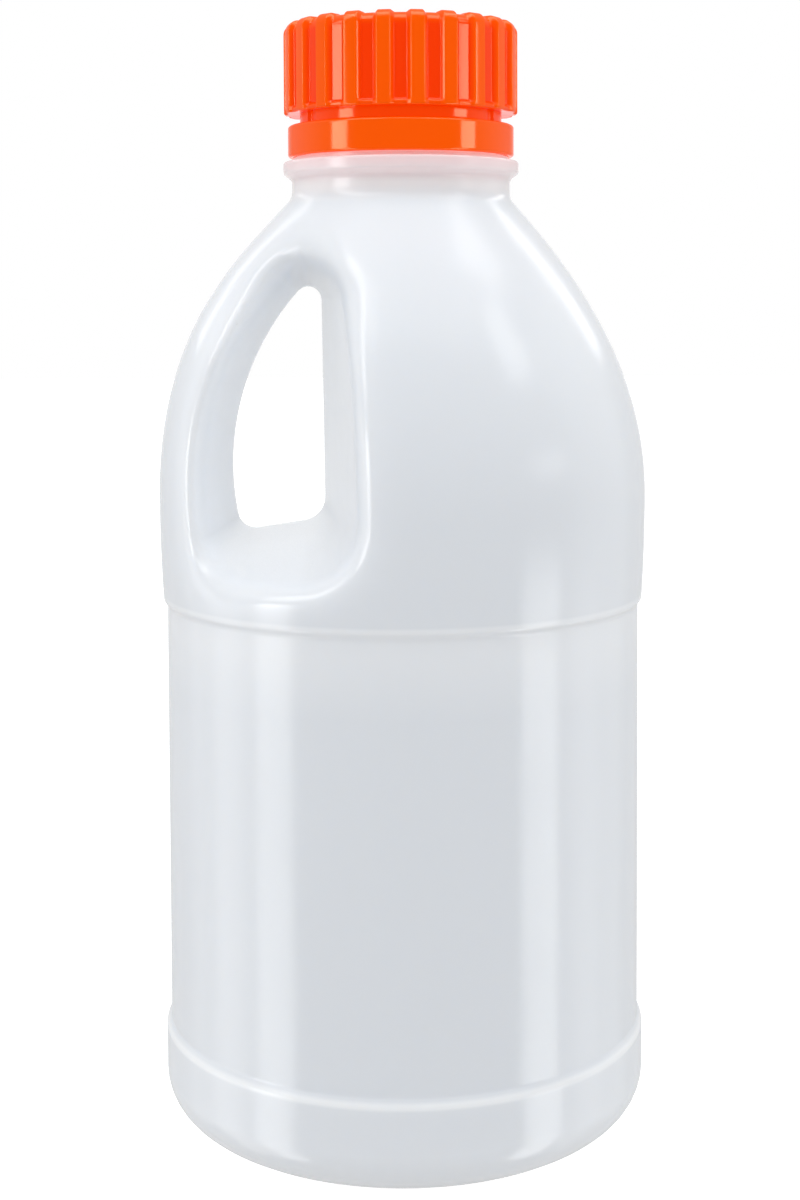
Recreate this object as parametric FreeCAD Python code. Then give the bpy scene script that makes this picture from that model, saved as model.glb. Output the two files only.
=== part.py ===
"""Two-litre detergent jug: moulded body with a handle, ribbed screw cap, tamper ring.

Millimetres, +Z up. The origin is the centre of the base, on the floor. The jug's
axis is +Z, its handle is on the -X side and the mould parts on the plane Y = 0.
"""
import FreeCAD, Part
import math
import os

Vec = FreeCAD.Vector
AXIS = Vec(0, 0, 1)

# Body, from the floor up
HEEL_R = 11.0            # rounding between the side and the base
PUSH_UP_R = 34.0         # shallow hollow under the base
PUSH_UP_DEPTH = 2.5
BAND_R, BAND_Z = 59.5, 21.6          # base band and its top edge
PANEL_R = 58.35                      # label panel, set back from both bands
PANEL_Z = (24.2, 126.4)
WAIST_R, WAIST_Z = 59.25, 127.9      # edge above the label panel
BODY_R, WIDEST_Z = 60.05, 153.5      # widest circle of the jug
SHOULDER_R, SHOULDER_Z = 28.25, 224.0    # circle near the top of the shoulder
BULGE, BULGE_Z = 2.3, 206.0          # extra reach of the shoulder over the handle

# Neck finish
NECK_R, NECK_ROOT_R = 26.9, 1.8      # neck, and the hollow where the shoulder meets it
BEAD_R, BEAD_Z = 29.0, (231.7, 234.8)
SEAT_R = 26.5                        # narrow land that the tamper ring stands on
SPIGOT_R, SPIGOT_Z = 23.5, 262.0     # plain neck inside the cap, closed on top

# Handle pocket: its outline where the two halves meet, and how it widens outwards
HOLE_SIDE, HOLE_SIDE_LEAN = (-19.35, 160.0), 0.012   # straight side next to the body, and its lean
HOLE_FLOOR, HOLE_FLOOR_RISE = (-35.5, 144.5), 0.15   # floor, which rises towards the body
HOLE_ARC_R, HOLE_ARC_C = 65.0, (22.95, 160.0)        # long curve along the grip
HOLE_CORNER_R = (3.3, 6.0, 4.2)      # top, foot of the straight side, foot of the grip
DRAFT = math.radians(10.0)
POCKET_DEPTH = 62.0
RIM_R = 5.0                          # rounding of the pocket's rim and of the grip
PARTING_R = 4.0                      # rounding where the two drafted halves meet

# Tamper ring
RING_R, RING_BORE_R = 27.85, 23.6
RING_Z = (235.85, 243.6)

# Screw cap
RIBS = 22
RIB_R, GROOVE_R, BELT_R = 28.75, 27.45, 28.1
SKIRT_R = 24.85                      # recess between the ribs and the tamper ring
RIBS_Z = (246.5, 246.3)              # underside of the ribs, inner and outer edge
BELT_Z = 247.2                       # top of the plain belt at the foot of the grooves
CAP_TOP_Z = 268.5
CAP_EDGE_R = 2.6                     # rounding of the ribs over the top edge
RIB_PROUD = 0.5                      # how far the ribs stand above the top plate's edge
RIB_FOOT, RIB_CREST = math.radians(10.1), math.radians(6.4)   # rib's width as angles
SLOTS = (60.0, 120.0, 240.0, 300.0)  # upright slots round the recess, degrees from front
SLOT_WIDTH, SLOT_DEPTH = 3.4, 0.8


def polyline(points):
    """Closed wire in the XZ plane through (radius, height) pairs."""
    corners = [Vec(r, 0, z) for r, z in points]
    return Part.makePolygon(corners + corners[:1])


def revolved(points):
    """Solid turned about the axis from (radius, height) pairs."""
    return Part.Face(polyline(points)).revolve(Vec(0, 0, 0), AXIS, 360)


def circle_edges(shape, radius, z):
    """Edges of a turned shape that lie at one radius and height."""
    found = []
    for edge in shape.Edges:
        box = edge.BoundBox
        level = abs(box.ZMin - z) < 0.02 and abs(box.ZMax - z) < 0.02
        if level and abs(box.XMax - radius) < 0.02:
            found.append(edge)
    return found


def smooth(low, high, value):
    """Smooth step from 0 at low to 1 at high."""
    t = min(max((value - low) / (high - low), 0.0), 1.0)
    return t * t * (3.0 - 2.0 * t)


def side_radius(z):
    """Radius of the upper body at a height: a slight swell, then a parabola."""
    if z <= WIDEST_Z:
        return BODY_R - (BODY_R - WAIST_R) * ((WIDEST_Z - z) / (WIDEST_Z - WAIST_Z)) ** 2
    return BODY_R - (BODY_R - SHOULDER_R) * ((z - WIDEST_Z) / (SHOULDER_Z - WIDEST_Z)) ** 2


def handle_reach(z):
    """How much further the shoulder reaches on the handle's side."""
    rise = smooth(WIDEST_Z + 2.0, BULGE_Z, z)
    fall = smooth(BULGE_Z, SHOULDER_Z + 2.0, z)
    return BULGE * rise * (1.0 - 0.75 * fall)


def lower_body():
    """Base, base band and label panel, turned."""
    shape = revolved([
        (0, PUSH_UP_DEPTH), (PUSH_UP_R, PUSH_UP_DEPTH), (PUSH_UP_R + 5.0, 0),
        (BAND_R, 0), (BAND_R, BAND_Z),
        (PANEL_R, PANEL_Z[0]), (PANEL_R, PANEL_Z[1]),
        (WAIST_R, WAIST_Z), (0, WAIST_Z)])
    shape = shape.makeFillet(HEEL_R, circle_edges(shape, BAND_R, 0))
    for radius, z, rounding in ((BAND_R, BAND_Z, 2.0), (PANEL_R, PANEL_Z[0], 2.0),
                                (PANEL_R, PANEL_Z[1], 0.8)):
        shape = shape.makeFillet(rounding, circle_edges(shape, radius, z))
    return shape


def upper_body():
    """Body above the label panel: circles that shift towards the handle, lofted."""
    heights = [WAIST_Z, 136.0, 145.0, WIDEST_Z, 162.0, 171.0, 180.0, 189.0,
               198.0, 207.0, 214.0, 220.0, SHOULDER_Z + 3.0]
    wires = []
    for z in heights:
        reach = handle_reach(z)
        ring = Part.Circle(Vec(-reach / 2, 0, z), AXIS, side_radius(z) + reach / 2)
        wires.append(Part.Wire(ring.toShape()))
    return Part.makeLoft(wires, True, False)


def neck():
    """Neck with its bead, the land under the tamper ring and the closed spigot."""
    low, high = BEAD_Z
    shape = revolved([
        (0, SHOULDER_Z - 12), (NECK_R, SHOULDER_Z - 12), (NECK_R, low - 0.9),
        (BEAD_R, low), (BEAD_R, high), (SEAT_R, high), (SEAT_R, RING_Z[0]),
        (SPIGOT_R, RING_Z[0]), (SPIGOT_R, SPIGOT_Z), (0, SPIGOT_Z)])
    shape = shape.makeFillet(1.4, circle_edges(shape, NECK_R, low - 0.9))
    return shape.makeFillet(0.45, circle_edges(shape, BEAD_R, low) + circle_edges(shape, BEAD_R, high))


def meet(normal, reach, centre, radius, up):
    """Upper or lower point where the line normal * p = reach crosses a circle."""
    gap = reach - normal.dot(centre)
    along = Vec(-normal.z, 0, normal.x)
    run = along * math.sqrt(radius ** 2 - gap ** 2)
    ends = sorted((centre + normal * gap + run, centre + normal * gap - run), key=lambda p: p.z)
    return ends[1] if up else ends[0]


def cross_lines(n_a, reach_a, n_b, reach_b):
    """Point where two lines normal * p = reach cross."""
    det = n_a.x * n_b.z - n_a.z * n_b.x
    return Vec((reach_a * n_b.z - n_a.z * reach_b) / det, 0, (n_a.x * reach_b - reach_a * n_b.x) / det)


def pocket_outline(widen, y):
    """Rounded outline of the handle pocket, widened all round, in a plane of constant Y."""
    side = Vec(1, 0, HOLE_SIDE_LEAN).normalize()
    floor = Vec(HOLE_FLOOR_RISE, 0, -1).normalize()
    side_reach = side.dot(Vec(HOLE_SIDE[0], 0, HOLE_SIDE[1]))
    floor_reach = floor.dot(Vec(HOLE_FLOOR[0], 0, HOLE_FLOOR[1]))
    middle = Vec(HOLE_ARC_C[0], 0, HOLE_ARC_C[1])
    r_top, r_heel, r_foot = HOLE_CORNER_R
    top = meet(side, side_reach - r_top, middle, HOLE_ARC_R - r_top, True)
    heel = cross_lines(side, side_reach - r_heel, floor, floor_reach - r_heel)
    foot = meet(floor, floor_reach - r_foot, middle, HOLE_ARC_R - r_foot, False)
    to_top, to_foot = (top - middle).normalize(), (foot - middle).normalize()
    ends, bends = [], []
    for centre, radius, first, last in ((top, r_top, to_top, side), (heel, r_heel, side, floor),
                                        (foot, r_foot, floor, to_foot)):
        spokes = (first, (first + last).normalize(), last)
        points = [centre + spoke * (radius + widen) for spoke in spokes]
        ends += [points[0], points[2]]
        bends.append(Part.Arc(*points).toShape())
    grip = Part.Arc(ends[5], middle - Vec(HOLE_ARC_R + widen, 0, 0), ends[0]).toShape()
    outline = Part.Wire([bends[0], Part.makeLine(ends[1], ends[2]), bends[1],
                         Part.makeLine(ends[3], ends[4]), bends[2], grip])
    outline.translate(Vec(0, y, 0))
    return outline


def pocket(side):
    """One half of the handle's opening, drafted out of the mould to side * Y."""
    reach = POCKET_DEPTH * math.tan(DRAFT)
    return Part.makeLoft([pocket_outline(0.0, 0.0),
                          pocket_outline(reach, side * POCKET_DEPTH)], True, True)


def pocket_edges(shape):
    """Edges of the handle's opening: its two outer rims, and the ridge at Y = 0."""
    rims, ridge = [], []
    for edge in shape.Edges:
        box = edge.BoundBox
        if box.ZMin < WAIST_Z + 2 or box.ZMax > SHOULDER_Z - 6 or box.XMax > 0:
            continue
        if box.YMin > 0.5 or box.YMax < -0.5:
            rims.append(edge)
        elif box.YMin > -0.01 and box.YMax < 0.01:
            ridge.append(edge)
    return rims, ridge


def neck_root(shape):
    """Edges where the neck's cylinder comes out of the shoulder."""
    return [edge for edge in shape.Edges
            if SHOULDER_Z - 2 < edge.BoundBox.ZMin and edge.BoundBox.ZMax < BEAD_Z[0] - 3
            and edge.BoundBox.XLength > 1]


def jug():
    """Whole moulded body as one solid: it is full and shut."""
    shape = lower_body().fuse(upper_body()).fuse(neck()).removeSplitter()
    shape = shape.makeFillet(NECK_ROOT_R, neck_root(shape))
    shape = shape.cut(pocket(-1).fuse(pocket(1)))
    shape = shape.makeFillet(RIM_R, pocket_edges(shape)[0])
    return shape.makeFillet(PARTING_R, pocket_edges(shape)[1])


def tamper_ring():
    """Tamper-evident ring between the bead and the cap."""
    low, high = RING_Z
    shape = revolved([(RING_BORE_R, low), (RING_R, low), (RING_R, high), (RING_BORE_R, high)])
    return shape.makeFillet(0.5, circle_edges(shape, RING_R, high) + circle_edges(shape, RING_R, low))


def cap_turned(radius, top):
    """Closed outer form of the cap at one radius, with its rounded top edge."""
    shape = revolved([
        (0, RING_Z[1]), (SKIRT_R, RING_Z[1]), (SKIRT_R, RIBS_Z[0]),
        (radius, RIBS_Z[1]), (radius, top), (0, top)])
    shape = shape.makeFillet(CAP_EDGE_R, circle_edges(shape, radius, top))
    return shape.makeFillet(0.5, circle_edges(shape, radius, RIBS_Z[1]))


def rib_blank(index):
    """Upright wedge that cuts one rib out of the cap's outer form."""
    half_foot = GROOVE_R * math.tan(RIB_FOOT / 2)
    half_crest = RIB_R * math.tan(RIB_CREST / 2)
    flare = (half_foot - half_crest) / (RIB_R - GROOVE_R)
    inner, outer = GROOVE_R - 6.0, RIB_R + 0.5
    width_in, width_out = half_foot + 0.25 * flare, half_crest - flare * (outer - RIB_R)
    corners = [Vec(inner, -width_in, 0), Vec(GROOVE_R - 0.25, -width_in, 0),
               Vec(outer, -width_out, 0), Vec(outer, width_out, 0),
               Vec(GROOVE_R - 0.25, width_in, 0), Vec(inner, width_in, 0)]
    blank = Part.Face(Part.makePolygon(corners + corners[:1])).extrude(Vec(0, 0, 30))
    blank.translate(Vec(0, 0, RIBS_Z[0] - 1))
    blank.rotate(Vec(0, 0, 0), AXIS, -90 + 360.0 / RIBS * (index + 0.5))
    return blank


def cap():
    """Ribbed screw cap, a cup that stands on the top of the neck."""
    core = cap_turned(GROOVE_R, CAP_TOP_Z - RIB_PROUD)
    belt = revolved([(20, RIBS_Z[0]), (SKIRT_R, RIBS_Z[0]), (BELT_R, RIBS_Z[1]),
                     (BELT_R, BELT_Z), (GROOVE_R - 1, BELT_Z + 1.2), (20, BELT_Z + 1.2)])
    ribbed = cap_turned(RIB_R, CAP_TOP_Z).common(Part.makeCompound([rib_blank(i) for i in range(RIBS)]))
    shape = core.fuse([belt] + ribbed.Solids)
    shape = shape.cut(Part.makeCylinder(RING_BORE_R, SPIGOT_Z - RING_Z[1], Vec(0, 0, RING_Z[1])))
    for angle in SLOTS:
        slot = Part.makeBox(SLOT_DEPTH + 1, SLOT_WIDTH, RIBS_Z[0] - RING_Z[1],
                            Vec(SKIRT_R - SLOT_DEPTH, -SLOT_WIDTH / 2, RING_Z[1]))
        slot.rotate(Vec(0, 0, 0), AXIS, -90 + angle)
        shape = shape.cut(slot)
    return shape.removeSplitter()


def main():
    """Write one STEP file for each piece."""
    os.makedirs("parts", exist_ok=True)
    for name, shape in (("jug", jug()), ("cap", cap()), ("tamper_ring", tamper_ring())):
        solid = shape.Solids[0] if len(shape.Solids) == 1 else shape
        print(name, "solids", len(shape.Solids), "valid", shape.isValid(), "volume %.0f" % shape.Volume)
        solid.exportStep("parts/%s.step" % name)


main()
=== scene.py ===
"""Looks of a two-litre detergent jug: body with a handle, tamper ring and screw cap.

Shapes are worked out in millimetres in the CAD frame (+Z up, the jug's axis on Z,
the handle towards -X, the mould's parting plane at Y = 0) and written in metres.
"""
import logging
import math
from dataclasses import dataclass, field, replace
from enum import Enum
from typing import Callable, Sequence

import bpy
import numpy as np
from mathutils import Euler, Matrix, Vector


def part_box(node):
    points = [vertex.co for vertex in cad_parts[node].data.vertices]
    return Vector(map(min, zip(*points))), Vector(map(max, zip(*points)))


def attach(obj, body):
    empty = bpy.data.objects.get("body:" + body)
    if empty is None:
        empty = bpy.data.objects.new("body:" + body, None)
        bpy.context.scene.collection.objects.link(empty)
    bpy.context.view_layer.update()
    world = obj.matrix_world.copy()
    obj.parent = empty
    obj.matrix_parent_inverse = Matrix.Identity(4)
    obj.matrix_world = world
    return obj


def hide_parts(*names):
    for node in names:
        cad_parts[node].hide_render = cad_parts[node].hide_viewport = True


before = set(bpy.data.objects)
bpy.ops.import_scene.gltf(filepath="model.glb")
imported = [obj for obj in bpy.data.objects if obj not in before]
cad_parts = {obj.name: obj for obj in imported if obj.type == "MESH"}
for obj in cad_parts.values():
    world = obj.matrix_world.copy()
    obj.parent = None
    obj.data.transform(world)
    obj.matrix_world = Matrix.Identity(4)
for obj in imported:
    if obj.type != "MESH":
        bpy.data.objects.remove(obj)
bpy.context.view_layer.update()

log = logging.getLogger("jug")
MM = 0.001
COLUMNS = 288            # faces round the jug; every ring of its mesh shares these angles
ON_AXIS = 1e-6           # radius below which a point is on the axis
SAME_PLACE = 1e-5        # distance below which two points of an outline are one

Array = np.ndarray
Pair = tuple[float, float]
Triple = tuple[float, float, float]
Outline = tuple[Array, Array]           # points (radius, height), and the outward normal at each
MeshData = tuple[Array, Array, list]    # vertices, the normal at each, and faces
Source = bpy.types.NodeSocket | float | tuple


class Slot(Enum):
    """Material slots of the record."""

    JUG = "jug_plastic"
    CAP = "cap_plastic"


# --------------------------------------------------------------------------
# Geometry helpers
# --------------------------------------------------------------------------

def smoothstep(low: float, high: float, value: Array) -> Array:
    """Ease from 0 to 1 between two limits.

    Args:
        low: Value where the result starts to rise.
        high: Value where the result reaches 1; it may be the lesser one.
        value: Input values.

    Returns:
        Eased values between 0 and 1.
    """
    t = np.clip((value - low) / (high - low), 0.0, 1.0)
    return t * t * (3.0 - 2.0 * t)


def soft_max(a: Array, b: Array, width: Array | float) -> Array:
    """Greater of two fields, with a smooth bend where they are nearly equal.

    Args:
        a: First field.
        b: Second field.
        width: Difference of the fields at which the bend starts.

    Returns:
        The blended field.
    """
    h = np.maximum(width - np.abs(a - b), 0.0) / width
    return np.maximum(a, b) + h ** 3 * width / 6.0


def soft_min(a: Array, b: Array, width: Array | float) -> Array:
    """Lesser of two fields with a smooth bend; see soft_max."""
    return -soft_max(-a, -b, width)


@dataclass(frozen=True)
class Corner:
    """Corner of a turned outline.

    Attributes:
        r: Radius.
        z: Height.
        rounding: Radius of the arc that rounds the corner off.
    """

    r: float
    z: float
    rounding: float = 0.0


def arc(centre: Pair, radius: float, start: float, end: float, steps: int) -> list[Pair]:
    """Points along an arc.

    Args:
        centre: Its centre.
        radius: Its radius.
        start: Angle of its first point in radians.
        end: Angle of its last point.
        steps: Number of steps between them.

    Returns:
        The points, both ends included.
    """
    turns = [start + (end - start) * n / steps for n in range(steps + 1)]
    return [(centre[0] + radius * math.cos(turn), centre[1] + radius * math.sin(turn)) for turn in turns]


def rounded_outline(corners: Sequence[Corner], step_deg: float = 9.0) -> Outline:
    """Sample a turned outline with its corners rounded.

    Args:
        corners: The outline, with the solid on its left as it is followed.
        step_deg: Largest turn between two samples on an arc.

    Returns:
        Points (radius, height) and the outward unit normal at each.
    """
    points: list[Array] = []
    normals: list[Array] = []

    def add(point: Array, normal: Array) -> None:
        """Add a point unless it is the one before it."""
        if not points or np.hypot(*(point - points[-1])) > SAME_PLACE:
            points.append(point)
            normals.append(normal)

    where = [np.array([c.r, c.z]) for c in corners]
    for index, corner in enumerate(corners):
        before = where[index] - where[index - 1] if index else None
        after = where[index + 1] - where[index] if index + 1 < len(corners) else None
        if before is None or after is None:
            way = after if before is None else before
            way = way / np.hypot(*way)
            add(where[index], np.array([way[1], -way[0]]))
            continue
        before, after = before / np.hypot(*before), after / np.hypot(*after)
        turn = math.atan2(before[0] * after[1] - before[1] * after[0], float(before @ after))
        reach = corner.rounding * abs(math.tan(turn / 2.0))
        side = math.copysign(1.0, turn)
        left = np.array([-before[1], before[0]])
        start = where[index] - before * reach
        centre = start + side * corner.rounding * left
        steps = max(2, math.ceil(abs(math.degrees(turn)) / step_deg))
        for n in range(steps + 1):
            angle = turn * n / steps
            spin = np.array([[math.cos(angle), -math.sin(angle)], [math.sin(angle), math.cos(angle)]])
            normal = -(spin @ left)
            add(centre + side * corner.rounding * normal, normal)
    return np.array(points), np.array(normals)


def ring_angles(count: int) -> Array:
    """Angles of the columns of a turned mesh, half a step off the seam."""
    return (np.arange(count) + 0.5) * 2.0 * math.pi / count


def around(radius: Array | float, height: Array | float, angles: Array) -> Array:
    """Turn radii and heights into points.

    Args:
        radius: Radii, broadcast with angles.
        height: Heights, broadcast with angles.
        angles: Angles from the front, -Y, growing towards +X.

    Returns:
        Points with X, Y and Z in the last axis.
    """
    return np.stack(np.broadcast_arrays(radius * np.sin(angles), -radius * np.cos(angles), height), -1)


def strip_faces(rings: int, count: int) -> Array:
    """Quads that join rings of vertices stored one after another, facing outwards.

    Args:
        rings: Number of rings, from the lowest on the outside upwards.
        count: Vertices in each ring.

    Returns:
        Four vertex indices for each face.
    """
    column = np.arange(count)
    after = (column + 1) % count
    quads = []
    for ring in range(rings - 1):
        low, high = ring * count, (ring + 1) * count
        quads.append(np.stack([low + column, low + after, high + after, high + column], -1))
    return np.concatenate(quads)


def new_piece(name: str, points: Array, faces: list, normals: Array | None = None) -> bpy.types.Object:
    """Make a smooth-shaded object in the scene.

    Args:
        name: Name of the piece.
        points: Vertices in millimetres.
        faces: Faces as lists of vertex indices.
        normals: Unit normal at each vertex, or None to take them from the faces.

    Returns:
        The new object, at the origin.
    """
    mesh = bpy.data.meshes.new(name)
    mesh.from_pydata((points * MM).tolist(), [], faces)
    mesh.validate()
    mesh.shade_smooth()
    if normals is not None:
        mesh.normals_split_custom_set_from_vertices(normals.tolist())
    mesh.update()
    piece = bpy.data.objects.new(name, mesh)
    bpy.context.scene.collection.objects.link(piece)
    return piece


def turned_mesh(outline: Outline, count: int) -> MeshData:
    """Turn an outline about the axis.

    Args:
        outline: Outline that may start or end on the axis, and is clear of it between.
        count: Faces round the axis.

    Returns:
        Vertices, their normals and the faces. An end on the axis is closed by a fan.
    """
    points, slopes = outline
    on_axis = points[:, 0] < ON_AXIS
    angles = ring_angles(count)
    open_points, open_slopes = points[~on_axis], slopes[~on_axis]
    verts = around(open_points[:, :1], open_points[:, 1:], angles).reshape(-1, 3)
    norms = around(open_slopes[:, :1], open_slopes[:, 1:], angles).reshape(-1, 3)
    faces = strip_faces(len(open_points), count).tolist()
    for end, is_top in ((0, False), (-1, True)):
        if not on_axis[end]:
            continue
        pole = len(verts)
        verts = np.vstack([verts, [0.0, 0.0, points[end, 1]]])
        norms = np.vstack([norms, [0.0, 0.0, 1.0 if is_top else -1.0]])
        base = (len(open_points) - 1) * count if is_top else 0
        for column in range(count):
            a, b = base + column, base + (column + 1) % count
            faces.append([a, b, pole] if is_top else [b, a, pole])
    return verts, norms, faces


# --------------------------------------------------------------------------
# Jug body
# --------------------------------------------------------------------------

@dataclass
class HandlePocket:
    """Opening beside the handle: an outline at Y = 0 that widens towards both sides.

    Attributes:
        side: X and Z of a point on the straight side next to the body, and its lean.
        floor: X and Z of a point on the floor, and its rise towards the body.
        arc_radius: Radius of the long curve along the grip.
        arc_centre: X and Z of that curve's centre.
        corners: Rounding at Y = 0 of the top, the foot of the side and the foot of the grip.
        draft_deg: Angle at which the walls open outwards.
        ridge: Half-width over which the two drafted halves blend at Y = 0.
    """

    side: Triple = (-19.35, 160.0, 0.012)
    floor: Triple = (-35.5, 144.5, 0.15)
    arc_radius: float = 65.0
    arc_centre: Pair = (22.95, 160.0)
    corners: Triple = (3.3, 6.0, 4.2)
    draft_deg: float = 10.0
    ridge: float = 1.6

    def outline_distance(self, x: Array, z: Array) -> Array:
        """Signed distance to the rounded outline in the parting plane, negative inside.

        Args:
            x: X of the points.
            z: Z of the points.

        Returns:
            Distances, whose level lines have corners that grow rounder outwards.
        """
        middle = np.array(self.arc_centre)
        side_n = np.array([1.0, self.side[2]]) / math.hypot(1.0, self.side[2])
        floor_n = np.array([self.floor[2], -1.0]) / math.hypot(1.0, self.floor[2])
        side_reach, floor_reach = float(side_n @ self.side[:2]), float(floor_n @ self.floor[:2])

        def meet(normal: Array, reach: float, radius: float, sign: float) -> Array:
            """Point where a line crosses a circle round the curve's centre."""
            gap = reach - float(normal @ middle)
            along = np.array([-normal[1], normal[0]]) * sign
            return middle + normal * gap + along * math.sqrt(radius ** 2 - gap ** 2)

        r_top, r_heel, r_foot = self.corners
        top = meet(side_n, side_reach - r_top, self.arc_radius - r_top, 1.0)
        heel = np.linalg.solve(np.stack([side_n, floor_n]), [side_reach - r_heel, floor_reach - r_heel])
        foot = meet(floor_n, floor_reach - r_foot, self.arc_radius - r_foot, -1.0)
        inside = np.maximum(side_n[0] * x + side_n[1] * z - side_reach,
                            floor_n[0] * x + floor_n[1] * z - floor_reach)
        inside = np.maximum(inside, np.hypot(x - middle[0], z - middle[1]) - self.arc_radius)
        corners = ((top, top - middle, side_n, r_top), (heel, side_n, floor_n, r_heel),
                   (foot, floor_n, foot - middle, r_foot))
        for centre, way_a, way_b, radius in corners:
            dx, dz = x - centre[0], z - centre[1]
            turn = way_a[0] * way_b[1] - way_a[1] * way_b[0]
            share_a = (dx * way_b[1] - dz * way_b[0]) / turn
            share_b = (way_a[0] * dz - way_a[1] * dx) / turn
            inside = np.where((share_a > 0) & (share_b > 0), np.hypot(dx, dz) - radius, inside)
        return inside

    def distance(self, points: Array) -> Array:
        """Signed distance to the pocket.

        Args:
            points: Points to measure from.

        Returns:
            Distances, negative inside it.
        """
        x, y, z = np.moveaxis(points, -1, 0)
        draft = math.radians(self.draft_deg)
        depth = np.sqrt(y ** 2 + self.ridge ** 2) - self.ridge
        return (self.outline_distance(x, z) - depth * math.tan(draft)) * math.cos(draft)


@dataclass
class PocketRim:
    """How gently the body's skin bends into the handle's pocket.

    Attributes:
        crisp: Bend beside the body.
        at_grip: What the grip adds, and the X between which it comes in.
        at_top: What the top adds, and the heights between which it comes in.
        by_body: Share of that which goes by the body, and the X between which it goes.
        at_foot: What the foot of the grip adds, and the heights between which it comes in.
    """

    crisp: float = 7.5
    at_grip: Triple = (4.5, -30.0, -48.0)
    at_top: Triple = (15.0, 186.0, 208.0)
    by_body: Triple = (0.85, -24.0, -12.0)
    at_foot: Triple = (3.0, 150.0, 136.0)

    def bend(self, points: Array) -> Array:
        """Softness of the bend.

        Args:
            points: Points near the rim.

        Returns:
            Width of the bend at each point, for soft_max.
        """
        x, _, z = np.moveaxis(points, -1, 0)
        grip = smoothstep(*self.at_grip[1:], x)
        top = smoothstep(*self.at_top[1:], z) * (1.0 - self.by_body[0] * smoothstep(*self.by_body[1:], x))
        foot = smoothstep(*self.at_foot[1:], z)
        return self.crisp + self.at_grip[0] * grip + self.at_top[0] * top + self.at_foot[0] * grip * foot


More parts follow.
